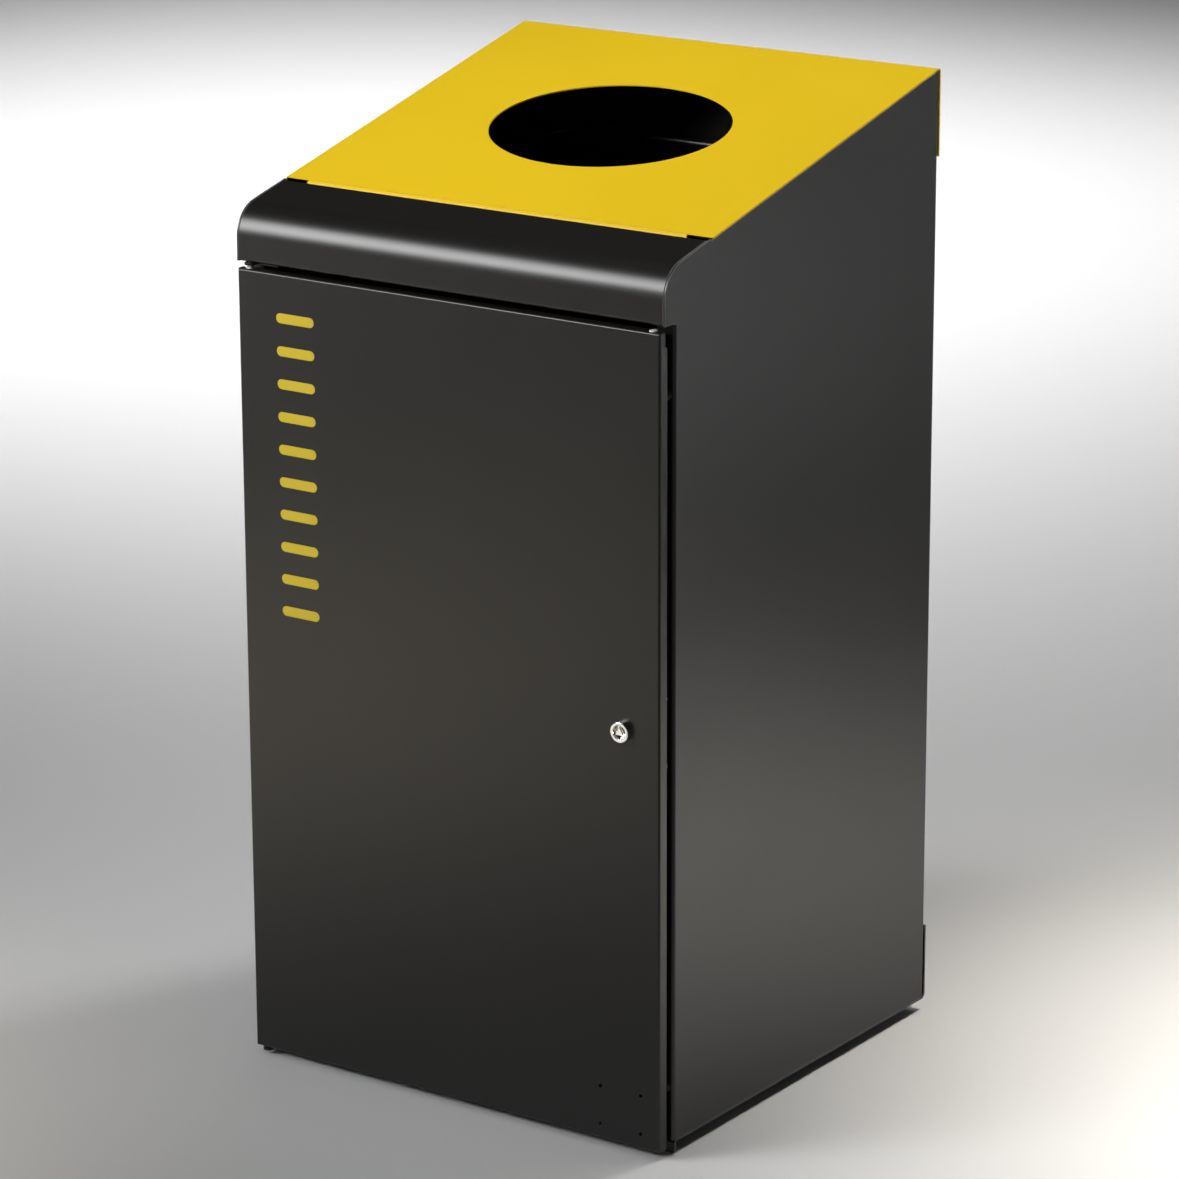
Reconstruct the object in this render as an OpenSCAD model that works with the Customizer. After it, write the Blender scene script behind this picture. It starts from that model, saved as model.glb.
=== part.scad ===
// Sorting bin: a sheet-steel cabinet with a sloping drop panel and a hinged, locked door.
// +Z is up and -Y is the front. The origin is on the floor, under the middle of the outer box.

/* [Cabinet] */
// Width over the side panels
body_w = 405; // [330:1:500]
// Height of the upper rear edge above the floor
body_h = 800; // [660:1:970]
// Depth from the door's face to the rear flanges
body_d = 393; // [325:1:480]
// Thickness of the cabinet's sheet steel
sheet = 1.5; // [1.2:0.05:1.85]
// Outer radius of a plain sheet bend
bend_r = 3; // [2.4:0.1:3.6]
// Width of the side panels' inward returns
return_w = 16; // [13:1:20]
// Distance from the door's face to the side panels' front edge
side_set = 16; // [16:0.5:19]
// Gap between a rear flange and the side panels
flange_gap = 0.8; // [0.5:0.1:0.9]

/* [Top] */
// Slope of the top, in degrees
top_slope = 13.7; // [9:0.1:17]
// Distance from the door's face to the front edge of the top panel
top_set = 64.4; // [56:0.1:80]
// Height of the top panel's rear flange
top_flange_h = 72; // [50:1:90]
// Depth of the front lips where the top panel meets the nose cover
lip_h = 12; // [9:0.5:15]
// Width at each end of the top panel that has no front lip
lip_inset = 22.5; // [18:0.5:40]
// Gap between the top panel and the nose cover
seam_gap = 0.8; // [0.4:0.1:0.9]
// Width of the oval drop opening
hole_w = 210; // [150:1:260]
// Length of the oval drop opening along the slope
hole_l = 158; // [110:1:190]
// Distance along the slope from the top panel's front edge to the middle of the opening
hole_set = 164; // [130:1:200]

/* [Nose] */
// Radius of the nose's large bend
nose_r = 28; // [20:0.5:34]
// Height from the sharp corner of the nose's outline to its lower edge
nose_drop = 40.6; // [38:0.1:60]
// Distance from the door's face to the nose's front
nose_set = 3; // [1:0.5:5]
// Depth of the nose's lower return
nose_return = 14; // [13:0.5:20]
// Height of the upturn at the end of the nose's lower return
nose_upturn = 10; // [6:1:14]
// Gap at each end between the nose cover and the side panel
nose_gap = 0.5; // [0.3:0.1:0.9]

/* [Base] */
// Height of the base tray's floor above the ground
base_z = 12.5; // [11:0.5:18]
// Height of the top of the base tray's rear flange above the ground
base_flange_z = 76; // [60:1:100]
// Clearance under the base tray's front lip
lip_clear = 1; // [0.5:0.1:2]
// Distance from the door's face to the base tray's front lip
base_set = 18; // [18:0.5:22]
// Inner radius of the base tray's rear bend
base_bend_r = 3.5; // [2.5:0.5:5]
// Diameter of a foot
foot_d = 30; // [24:1:40]
// Distance from a side panel's face to the middle of a foot
foot_inset = 52; // [35:1:70]
// Distance from the door's face to the middle of a front foot
foot_front = 60; // [45:1:80]

/* [Door] */
// Gap between the door's side edge and the side panel's face
door_side_gap = 2.5; // [2:0.1:3.5]
// Height of the door's lower edge above the ground
door_z = 7; // [6:0.5:9]
// Gap between the door and the nose cover
door_gap = 4.8; // [4.5:0.1:7]
// Depth of the door's returns
door_d = 10; // [9:0.1:10.4]
// Outer radius of the door's bends
door_bend_r = 2; // [1.9:0.1:3]
// Distance from the door's side edge to the hinge axis
hinge_inset = 9; // [8:0.1:9.2]
// Distance from the door's face to the hinge axis
hinge_set = 5; // [5:0.1:5.5]
// Radius of the hinge pins
pin_r = 2; // [1.6:0.1:2.2]
// Radial clearance of every turning fit
turn_fit = 0.05; // [0.02:0.01:0.09]
// Distance from the door's right edge to the middle of the four small holes
plate_inset = 36.5; // [30:0.5:60]
// Height of the middle of the four small holes above the door's lower edge
plate_z = 28; // [22:0.5:60]
// Distance across between the small holes
plate_w = 38; // [20:1:44]
// Distance up between the small holes
plate_h = 32; // [20:1:36]
// Radius of a small hole
plate_hole_r = 1.5; // [1:0.1:2]

/* [Door bars] */
// Number of plain bars in the door's graphic
bar_count = 10; // [3:1:11]
// Length of a bar
bar_w = 37; // [20:1:50]
// Height of a bar
bar_h = 8; // [4:0.5:14]
// Distance from one bar to the next
bar_pitch = 26.5; // [20:0.5:30]
// Thickness of a bar's film
film = 0.2; // [0.1:0.05:0.3]
// Distance from the door's left edge to the bars
bar_inset = 38; // [25:1:80]
// Distance from the door's upper edge to the first bar
bar_drop = 31; // [25:1:80]

/* [Lock] */
// Distance from the door's right edge to the lock's axis
lock_inset = 34; // [30:0.5:37]
// Height of the lock's axis above the door's lower edge
lock_z = 338.5; // [200:0.5:450]
// Diameter of the lock's face
lock_face_d = 16.5; // [15:0.1:20]
// Distance that the lock stands out from the door's face
lock_proud = 5; // [4:0.1:7]
// Diameter of the lock's recess
recess_d = 11.5; // [11:0.1:13]
// Side of the three-cornered key
key_side = 8; // [6.5:0.1:8.5]
// Radius of the lock's threaded barrel
barrel_r = 6; // [5.5:0.1:7]
// Radius of the lock plug's shaft
plug_r = 4; // [3.8:0.1:4.4]
// Distance from the lock's axis to the tip of the cam
cam_reach = 30; // [27:0.5:31]
// Width of the cam
cam_w = 14; // [12:0.5:16]
// Thickness of the cam
cam_t = 2.5; // [2:0.1:3]

/* [Bag ring] */
// Radius of the bag ring's rod
rod_r = 4; // [3:0.1:5]
// Distance from each side panel's face to the middle of the bag ring's arm
ring_inset = 42.5; // [36:0.5:60]
// Distance from the back panel to the axis of the ring's rear rail
ring_back = 15.7; // [13:0.1:24]
// Distance of the rear rail below the top panel's rear edge
ring_drop = 82; // [78:1:100]
// Distance from the door's face to the middle of the ring's front rail
ring_set = 46.5; // [42:0.5:70]
// Radius of the bag ring's corners, at the middle of the rod
ring_corner_r = 40; // [25:1:60]
// Width of a hinge block
block_w = 24; // [18:1:32]

/* [Hidden] */

// Facets of a full circle, and steps of a sheet bend
$fn = 48;
bend_steps = 8;
// Bends with a radius over large_r have large_steps
large_r = 10;
large_steps = 28;
hole_facets = 120;
// Extra length of a cut past a face
past = 1;
// Gap between faces that pass or rest on each other
rest_gap = 0.3;

// Fasteners
rivet_head_r = 3.2;
rivet_head_h = 1.2;
rivet_r = 1.6;
screw_head_r = 4;
screw_head_h = 2;
screw_r = 2;
screw_l = 9;
screw_fit = 0.2;
foot_screw_r = 2.5;
foot_head_r = 4.5;
foot_head_h = 3;
foot_recess = 4;
nut_af = 8;
nut_h = 4;
flat_head_r = 2.2;
block_screw_l = 8;
block_screw_head_r = 3.2;
block_screw_head_h = 1.6;
// Distance from a side panel's face to its rivets and screws
fixing_inset = 8.5;

// Main planes, as distances behind the door's face or heights above the ground
front_y = -(body_d + screw_head_h + lock_proud) / 2 + lock_proud;
flange_in = body_d - sheet;
side_back = flange_in - flange_gap;
back_out = side_back - sheet;
back_in = back_out - sheet;
side_in = body_w / 2 - sheet;
side_h = sheet / cos(top_slope);
nose_back = top_set - seam_gap;
function top_z(d) = body_h - (body_d - d) * tan(top_slope);
nose_z = top_z(nose_set) - nose_drop;
nose_end = nose_set + nose_return;
// Outer radius of the side panels' rear corners, inside the bends of the tray and the top
side_corner_r = base_bend_r + rest_gap;
// Relief at both ends of the side panels' lower and upper returns
return_relief = 14;
// Setback of the top panel's plain ends behind its lip
plain_set = 2;

// Door and hinge
door_w = body_w - 2 * door_side_gap;
door_top = nose_z - door_gap;
door_h = door_top - door_z;
hinge_x = -door_w / 2 + hinge_inset;
bush_wall = 0.7;
bush_hole_r = pin_r + turn_fit + bush_wall;
bush_flange_r = 3.4;
bush_flange_h = 1;
bush_l = 2 * sheet;
bracket_t = 2;
bracket_l = 30;
bracket_nose_r = 4.5;
// Depths of the brackets' wide ends, which hold the rivets
upper_foot_d = 7.5;
lower_foot_d = 5;
upper_bracket_z = nose_z - bracket_t;
lower_bracket_z = door_z - bush_flange_h - rest_gap - bracket_t;
lower_rivet_z = base_z - bend_r - flat_head_r - screw_fit;
// Relief at the upper end of the door's side returns
relief_h = 12;
relief_d = 2.6;
// Door stiffener: half widths of its section, and its distance from the door's ends
stiffener_foot = 28;
stiffener_wall = 16;
stiffener_crest = 12;
stiffener_ends = 48;
buffer_r = 4;
buffer_ends = 50;

// Lock
lock_x = door_w / 2 - lock_inset;
lock_axis_z = door_z + lock_z;
keeper_t = sheet;
keeper_h = 2 * (cam_reach + rivet_head_r);
cam_front = side_set + sheet + keeper_t + rest_gap;
barrel_end = cam_front - rest_gap;
cam_back = cam_front + cam_t;
recess_floor = 0.5;
recess_h = lock_proud - recess_floor;
plug_disc_h = 0.8;
plug_square = 5.6;
cam_hole = plug_square + 2 * turn_fit;
cam_screw_r = 2;
cam_screw_l = 8;
lock_nut_af = 17;
lock_nut_h = 4;
lock_hole_r = barrel_r + 2 * turn_fit;

// Bag ring
ring_x = body_w / 2 - ring_inset;
ring_y = back_in - ring_back;
ring_z = body_h - ring_drop;
ring_l = (ring_y - ring_set) / cos(top_slope);
block_x = ring_x - ring_corner_r - block_w;
block_h = 20;
block_wall = 4;
block_front = ring_y - rod_r - block_wall;
block_web = 0.5;
block_screw_zs = [for (s = [-1, 1]) ring_z + s * (rod_r + screw_r + block_web)];
// Distance from the ring's front rail back to its rests
rest_set = 34;
rest_y = ring_set + rest_set;
rest_d = 10;
rest_leg = 22;
rest_top = ring_z - (ring_y - rest_y) * tan(top_slope) - rod_r / cos(top_slope) - rest_gap;

// Fixings along the panels
bracket_rivet_pitch = (bracket_l - 2 * bracket_nose_r) / 3;
bracket_rivet_xs = [for (i = [1 : 2]) hinge_x + bracket_nose_r + i * bracket_rivet_pitch];
bracket_rivet_y = nose_end - 2 * bend_r;
keeper_x = side_in - return_w / 2;
keeper_rivet_zs = [for (s = [-1, 1]) lock_axis_z + s * (keeper_h / 2 - 2 * rivet_head_r)];
lip_rivet_z = top_z(nose_back) - lip_h / 2 - sheet;
end_x = body_w / 2 - fixing_inset;
back_rivet_zs = [for (i = [1 : 4]) base_flange_z + i * (body_h - top_flange_h - base_flange_z) / 5];
base_rivet_ys = [body_d / 4, body_d * 3 / 4];
lip_rivet_xs = [for (s = [-1 : 1]) s * (body_w / 2 - lip_inset) * 2 / 3];
flange_screw_zs = [(base_z + base_flange_z) / 2, body_h - top_flange_h / 2];
foot_x = body_w / 2 - foot_inset;
foot_ys = [foot_front, body_d - foot_inset];

ink = [0.20, 0.195, 0.185];
yellow = [0.90, 0.74, 0.12];
zinc = [0.72, 0.72, 0.70];
chrome = [0.80, 0.80, 0.80];
nylon = [0.90, 0.90, 0.86];
rubber = [0.08, 0.08, 0.08];

// ---- Outlines and bent sheets ----

function unit(v) = v / norm(v);
function left_of(v) = [-v[1], v[0]];
function turned(v, a) = [v[0] * cos(a) - v[1] * sin(a), v[0] * sin(a) + v[1] * cos(a)];

// Points of the arc that rounds the corner p between its neighbours a and b
function corner_arc(a, p, b, r) = r <= 0 ? [p] :
    let (
        u = unit(a - p),
        v = unit(b - p),
        half = acos(u * v) / 2,
        centre = p + unit(u + v) * r / sin(half),
        start = p + u * r / tan(half) - centre,
        sweep = (180 - 2 * half) * sign(cross(p - a, b - p)),
        steps = r > large_r ? large_steps : bend_steps
    )
    [for (i = [0 : steps]) centre + turned(start, sweep * i / steps)];

// Point at distance t to the left of the corner p, on both of its sides
function beside(a, p, b, t) =
    let (m = left_of(unit(p - a)), n = left_of(unit(b - p))) p + (m + n) * t / (1 + m * n);

// Closed outline with a radius at each corner
module outline(points, radii) {
    n = len(points);
    polygon([for (i = [0 : n - 1])
        each corner_arc(points[(i + n - 1) % n], points[i], points[(i + 1) % n], radii[i])]);
}

// Section of a sheet that follows a path, with t positive on the path's left.
// The radii are those of the face that lies on the path.
module bent(path, radii, t) {
    n = len(path) - 1;
    far = [for (i = [0 : n])
        i == 0 ? path[0] + t * left_of(unit(path[1] - path[0]))
        : i == n ? path[n] + t * left_of(unit(path[n] - path[n - 1]))
        : beside(path[i - 1], path[i], path[i + 1], t)];
    function bend(i) = sign(cross(path[i] - path[i - 1], path[i + 1] - path[i]));
    near_face = [for (i = [0 : n])
        each (i == 0 || i == n) ? [path[i]]
        : corner_arc(path[i - 1], path[i], path[i + 1], radii[i])];
    far_face = [for (i = [n : -1 : 0])
        each (i == 0 || i == n) ? [far[i]]
        : corner_arc(far[i + 1], far[i], far[i - 1], radii[i] - t * bend(i))];
    polygon(concat(near_face, far_face));
}

// ---- Placing ----

// Draws at a distance behind the door's face
module behind(d = 0) translate([0, front_y + d, 0]) children();

// Extrudes a section drawn as (distance behind the face, height) across the width w
module across(w, x = 0) behind() translate([x - w / 2, 0, 0]) rotate([90, 0, 90])
    linear_extrude(w) children();

// Extrudes a section drawn as (across, distance behind the face) up from z by h
module upright(z, h) behind() translate([0, 0, z]) linear_extrude(h) children();

// Round bar along +Y that starts at a distance behind the face
module bar_y(x, d, z, r, l) behind(d) translate([x, 0, z]) rotate([-90, 0, 0]) cylinder(r = r, h = l);

// Sloping frame whose origin is on the top's outer plane at distance d behind the face
module on_slope(d) behind(d) translate([0, 0, top_z(d)]) rotate([top_slope, 0, 0]) children();

// Pop rivet along +Y: its two heads hold a stack that starts at d and is t thick
module rivet_y(x, d, z, t) {
    bar_y(x, d - rivet_head_h, z, rivet_head_r, rivet_head_h);
    bar_y(x, d - past / 2, z, rivet_r, t + past);
    bar_y(x, d + t, z, rivet_head_r, rivet_head_h);
}

// Pop rivet along +Z through a stack that starts at z and is t thick
module rivet_z(x, d, z, t) behind(d) translate([x, 0, z]) {
    translate([0, 0, -rivet_head_h]) cylinder(r = rivet_head_r, h = rivet_head_h);
    translate([0, 0, -past / 2]) cylinder(r = rivet_r, h = t + past);
    translate([0, 0, t]) cylinder(r = rivet_head_r, h = rivet_head_h);
}

// Hexagon of a given width across its flats
module hexagon(af) circle(r = af / 2 / cos(30), $fn = 6);

// ---- Cabinet ----

module foot_places() for (s = [-1, 1], d = foot_ys) behind(d) translate([s * foot_x, 0, 0]) children();

module base_tray() color(ink) difference() {
    across(body_w) bent(
        [[base_set, lip_clear], [base_set, base_z], [flange_in, base_z], [flange_in, base_flange_z]],
        [0, bend_r, base_bend_r, 0], -sheet);
    for (s = [-1, 1]) lip_corner(s);
    foot_places() cylinder(r = foot_screw_r + screw_fit, h = base_z + past);
    for (s = [-1, 1], d = base_rivet_ys)
        behind(d) translate([s * end_x, 0, 0]) cylinder(r = rivet_r, h = base_z + past);
    for (s = [-1, 1])
        bar_y(s * end_x, side_back, flange_screw_zs[0], screw_r + screw_fit, sheet + 2 * past);
    bracket_rivet_holes_low();
}

// Waste outside the rounded lower corner of the base tray's front lip
module lip_corner(s) behind(base_set - past) translate([s * body_w / 2, 0, lip_clear]) rotate([-90, 0, 0])
    linear_extrude(sheet + 2 * past) difference() {
        square(2 * bend_r, center = true);
        translate([-s * bend_r, -bend_r]) circle(r = bend_r);
    }

// Outline of a side panel, seen from the side
module side_outline() outline(
    [[side_set, base_z], [side_back, base_z], [side_back, top_z(side_back) - side_h],
     [top_set, top_z(top_set) - side_h], [top_set, top_z(top_set)],
     [nose_set, top_z(nose_set)], [nose_set, nose_z], [side_set, nose_z]],
    [0, side_corner_r, side_corner_r, 0, 0, nose_r, 0, 0]);

// Section of the right side panel from above, with its front return where it has one
module side_section(front_return) {
    x = body_w / 2;
    mid = body_d / 2;
    bent([[x, mid], [x, side_back], [x - return_w, side_back]], [0, bend_r, 0], sheet);
    if (front_return)
        bent([[x, mid + past], [x, side_set], [x - return_w, side_set]], [0, bend_r, 0], -sheet);
    else
        translate([x - sheet, 0]) square([sheet, mid + past]);
}

module side_returns() {
    x = body_w / 2 - return_w;
    w = return_w - sheet / 2;
    behind(side_set + return_relief) translate([x, 0, base_z])
        cube([w, side_back - side_set - 2 * return_relief, sheet]);
    on_slope(top_set + return_relief) translate([x, 0, -2 * sheet])
        cube([w, (side_back - top_set - 2 * return_relief) / cos(top_slope), sheet]);
}

module right_panel_shape() difference() {
    union() {
        intersection() {
            across(return_w, (body_w - return_w) / 2) side_outline();
            union() {
                upright(0, nose_z) side_section(true);
                upright(nose_z - past / 2, body_h - nose_z) side_section(false);
            }
        }
        side_returns();
    }
    for (z = back_rivet_zs) bar_y(end_x, back_out - past, z, rivet_r, sheet + 2 * past);
    for (z = flange_screw_zs) bar_y(end_x, back_out - past, z, screw_r + screw_fit, sheet + 2 * past);
    for (d = base_rivet_ys)
        behind(d) translate([end_x, 0, base_z - past]) cylinder(r = rivet_r, h = sheet + 2 * past);
}

module left_side_panel() color(ink) mirror([1, 0, 0]) right_panel_shape();

module right_side_panel() color(ink) difference() {
    right_panel_shape();
    for (z = keeper_rivet_zs) bar_y(keeper_x, side_set - past, z, rivet_r, sheet + 2 * past);
}

module back_panel() color(ink) {
    w = body_w - 2 * (bend_r + rest_gap);
    low = base_z + base_bend_r;
    top = top_z(back_in) - side_h - rest_gap;
    difference() {
        behind(back_in) translate([-w / 2, 0, low]) cube([w, sheet, top - low]);
        for (s = [-1, 1], z = back_rivet_zs) bar_y(s * end_x, back_in - past, z, rivet_r, sheet + 2 * past);
        for (s = [-1, 1], z = flange_screw_zs)
            bar_y(s * end_x, back_in - past, z, screw_r + screw_fit, sheet + 2 * past);
        block_screw_places() bar_y(0, back_in - past, 0, screw_r + screw_fit, sheet + 2 * past);
    }
}

module nose_cover() color(ink) difference() {
    across(2 * (side_in - nose_gap)) bent(
        [[nose_back, top_z(nose_back) - lip_h], [nose_back, top_z(nose_back)],
         [nose_set, top_z(nose_set)], [nose_set, nose_z], [nose_end, nose_z],
         [nose_end, nose_z + nose_upturn]],
        [0, bend_r, nose_r, bend_r, bend_r, 0], sheet);
    for (x = lip_rivet_xs) bar_y(x, nose_back - sheet - past, lip_rivet_z, rivet_r, sheet + 2 * past);
    bracket_rivet_holes_high();
}

// Angles that join the nose cover's lower return to the side panels
module nose_brackets() color(zinc) for (s = [-1, 1]) {
    leg = return_w;
    seat = nose_return - 2 * bend_r;
    z = nose_z + sheet;
    behind(nose_set + bend_r) {
        translate([s * (side_in - leg / 2) - leg / 2, 0, z]) cube([leg, seat, sheet]);
        translate([s * (side_in - sheet / 2) - sheet / 2, 0, z]) cube([sheet, seat, leg]);
    }
}

module top_panel() color(yellow) {
    difference() {
        union() {
            across(body_w) bent(
                [[top_set + plain_set, top_z(top_set + plain_set)], [body_d, top_z(body_d)],
                 [body_d, body_h - top_flange_h]],
                [0, bend_r, 0], -sheet);
            across(body_w - 2 * lip_inset) bent(
                [[top_set, top_z(top_set) - lip_h], [top_set, top_z(top_set)],
                 [2 * top_set, top_z(2 * top_set)]],
                [0, bend_r, 0], -sheet);
        }
        on_slope(top_set) translate([0, hole_set, -sheet - past]) linear_extrude(sheet + 2 * past)
            scale([1, hole_l / hole_w]) circle(d = hole_w, $fn = hole_facets);
        for (s = [-1, 1])
            bar_y(s * end_x, flange_in - past, flange_screw_zs[1], screw_r + screw_fit, sheet + 2 * past);
        for (x = lip_rivet_xs) bar_y(x, top_set - past, lip_rivet_z, rivet_r, sheet + 2 * past);
    }
}

// Round feet, each with a recess for its screw's head
module feet() color(rubber) foot_places() difference() {
    cylinder(d = foot_d, h = base_z - sheet);
    translate([0, 0, -past]) cylinder(r = foot_head_r + rest_gap, h = foot_recess + past);
    cylinder(r = foot_screw_r + rest_gap, h = base_z);
}

module foot_screws() color(zinc) foot_places() {
    translate([0, 0, foot_recess - foot_head_h]) cylinder(r = foot_head_r, h = foot_head_h);
    translate([0, 0, foot_recess - past / 2])
        cylinder(r = foot_screw_r, h = base_z + nut_h - foot_recess + past);
}

module foot_nuts() color(zinc) foot_places() translate([0, 0, base_z]) linear_extrude(nut_h)
    difference() {
        hexagon(nut_af);
        circle(r = foot_screw_r + turn_fit);
    }

module base_rivets() color(zinc) for (s = [-1, 1], d = base_rivet_ys)
    rivet_z(s * end_x, d, base_z - sheet, 2 * sheet);

module back_rivets() color(zinc) for (s = [-1, 1], z = back_rivet_zs)
    rivet_y(s * end_x, back_in, z, 2 * sheet);

module lip_rivets() color(zinc) for (x = lip_rivet_xs)
    rivet_y(x, nose_back - sheet, lip_rivet_z, 2 * sheet + seam_gap);

// Pan-head screws through the two rear flanges
module flange_screws() color(zinc) for (s = [-1, 1], z = flange_screw_zs) {
    bar_y(s * end_x, body_d, z, screw_head_r, screw_head_h);
    bar_y(s * end_x, body_d - screw_l, z, screw_r, screw_l + past / 2);
}

// ---- Door hinge ----

// Plate whose tongue, with a round end, reaches the hinge axis, and whose wide foot holds the rivets
module hinge_plate(depth, foot_depth) {
    translate([hinge_x, hinge_set]) circle(r = bracket_nose_r);
    translate([hinge_x - bracket_nose_r, hinge_set]) square([2 * bracket_nose_r, depth - hinge_set]);
    translate([hinge_x - bracket_nose_r, depth - foot_depth]) square([bracket_l, foot_depth]);
}

module upper_hinge_bracket() color(ink) difference() {
    upright(upper_bracket_z, bracket_t) hinge_plate(nose_end - sheet, upper_foot_d);
    hinge_hole(upper_bracket_z);
    bracket_rivet_holes_high();
}

module lower_hinge_bracket() color(ink) difference() {
    union() {
        upright(lower_bracket_z, bracket_t) hinge_plate(base_set, lower_foot_d);
        upright(lower_bracket_z, base_z - bend_r - lower_bracket_z)
            translate([hinge_x - bracket_nose_r, base_set - bracket_t]) square([bracket_l, bracket_t]);
    }
    hinge_hole(lower_bracket_z);
    bracket_rivet_holes_low();
}

module hinge_hole(z) behind(hinge_set) translate([hinge_x, 0, z - past])
    cylinder(r = pin_r, h = bracket_t + 2 * past);

module bracket_rivet_holes_high() for (x = bracket_rivet_xs)
    behind(bracket_rivet_y) translate([x, 0, upper_bracket_z - past])
        cylinder(r = rivet_r, h = bracket_t + sheet + 2 * past);

module bracket_rivet_holes_low() for (x = bracket_rivet_xs)
    bar_y(x, base_set - bracket_t - past, lower_rivet_z, rivet_r, bracket_t + sheet + 2 * past);

// Flat-headed rivets that hold the two hinge brackets
module bracket_rivets() color(zinc) for (x = bracket_rivet_xs) {
    behind(bracket_rivet_y) translate([x, 0, upper_bracket_z])
        cylinder(r = rivet_r, h = bracket_t + sheet);
    behind(bracket_rivet_y) translate([x, 0, nose_z + sheet])
        cylinder(r = flat_head_r, h = rivet_head_h);
    bar_y(x, base_set - bracket_t, lower_rivet_z, rivet_r, bracket_t + sheet);
    bar_y(x, base_set + sheet, lower_rivet_z, flat_head_r, rivet_head_h);
}

// Pin that hangs from the upper bracket into the door
module upper_hinge_pin() color(zinc) hinge_pin(door_top - bush_l, nose_z - door_top + bush_l);

// Pin that stands on the lower bracket and enters the door
module lower_hinge_pin() color(zinc) hinge_pin(lower_bracket_z, door_z + bush_l - lower_bracket_z);

module hinge_pin(z, h) behind(hinge_set) translate([hinge_x, 0, z]) cylinder(r = pin_r, h = h);

// ---- Door ----

// Solid block of the door's size with rounded front edges, inset by t
module door_block(t, r) intersection() {
    w = door_w / 2 - t;
    upright(door_z + t, door_h - 2 * t)
        outline([[-w, door_d + t], [-w, t], [w, t], [w, door_d + t]], [0, r, r, 0]);
    across(door_w) outline(
        [[door_d + t, door_z + t], [t, door_z + t], [t, door_top - t], [door_d + t, door_top - t]],
        [0, r, r, 0]);
}

module door_panel() color(ink) difference() {
    door_block(0, door_bend_r);
    door_block(sheet, door_bend_r - sheet);
    for (s = [-1, 1])
        behind(door_d - relief_d) translate([s * door_w / 2 - bend_r, 0, door_top - relief_h])
            cube([2 * bend_r, relief_d + past, relief_h + past]);
    bar_y(lock_x, -past, lock_axis_z, lock_hole_r, sheet + 2 * past);
    for (s = [-1, 1], t = [-1, 1])
        bar_y(door_w / 2 - plate_inset + s * plate_w / 2, -past, door_z + plate_z + t * plate_h / 2,
            plate_hole_r, sheet + 2 * past);
    for (s = [-1, 1]) {
        at_top(s) translate([0, 0, -past]) cylinder(r = bush_hole_r, h = sheet + 2 * past);
        at_bottom(s) translate([0, 0, -past]) cylinder(r = bush_hole_r, h = sheet + 2 * past);
    }
}

// Ends of the door's two possible hinge axes, with +Z into the door: s is -1 at the hinge's side
module at_bottom(s) behind(hinge_set) translate([-s * hinge_x, 0, door_z]) children();

module at_top(s) behind(hinge_set) translate([-s * hinge_x, 0, door_top]) mirror([0, 0, 1]) children();

// Flanged nylon plug of a bush hole
module plug() {
    translate([0, 0, -bush_flange_h]) cylinder(r = bush_flange_r, h = bush_flange_h);
    translate([0, 0, -past / 2]) cylinder(r = bush_hole_r, h = bush_l + past / 2);
}

// Plug with a bore that turns on a hinge pin
module bush() difference() {
    plug();
    translate([0, 0, -2 * past]) cylinder(r = pin_r + turn_fit, h = bush_l + 3 * past);
}

module upper_hinge_bush() color(nylon) at_top(-1) bush();

module lower_hinge_bush() color(rubber) at_bottom(-1) bush();

module upper_plug() color(nylon) at_top(1) plug();

module lower_plug() color(rubber) at_bottom(1) plug();

// Hat-section channel behind the door's face
module door_stiffener() color(ink) upright(door_z + stiffener_ends, door_h - 2 * stiffener_ends) {
    crest = door_d - 2 * sheet;
    bent([[-stiffener_foot, sheet], [-stiffener_wall, sheet], [-stiffener_crest, crest],
        [stiffener_crest, crest], [stiffener_wall, sheet], [stiffener_foot, sheet]],
        [0, 0, 0, 0, 0, 0], sheet);
}

// Plain film bars on the door's face
module door_bars() color(yellow) for (i = [0 : bar_count - 1]) {
    x = -door_w / 2 + bar_inset;
    z = door_top - bar_drop - i * bar_pitch;
    behind(-film) translate([x, 0, z]) rotate([-90, 0, 0]) linear_extrude(film) union() {
        for (end = [bar_h / 2, bar_w - bar_h / 2]) translate([end, bar_h / 2]) circle(d = bar_h);
        translate([bar_h / 2, 0]) square([bar_w - bar_h, bar_h]);
    }
}

// Buffers on the right side panel's front return, which the closed door meets
module door_buffers() color(rubber) for (z = [door_z + buffer_ends, door_top - buffer_ends])
    bar_y(door_w / 2 - buffer_r, door_d + rest_gap, z, buffer_r, side_set - door_d - rest_gap);

// ---- Lock ----

module lock_housing() color(chrome) difference() {
    union() {
        bar_y(lock_x, -lock_proud, lock_axis_z, lock_face_d / 2, lock_proud);
        bar_y(lock_x, -past / 2, lock_axis_z, barrel_r, barrel_end + past / 2);
    }
    bar_y(lock_x, -lock_proud - past, lock_axis_z, recess_d / 2, recess_h + past);
    bar_y(lock_x, -lock_proud, lock_axis_z, plug_r + turn_fit, lock_proud + barrel_end + past);
}

module lock_nut() color(zinc) behind(sheet) translate([lock_x, 0, lock_axis_z]) rotate([-90, 0, 0])
    linear_extrude(lock_nut_h) difference() {
        hexagon(lock_nut_af);
        circle(r = barrel_r);
    }

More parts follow.
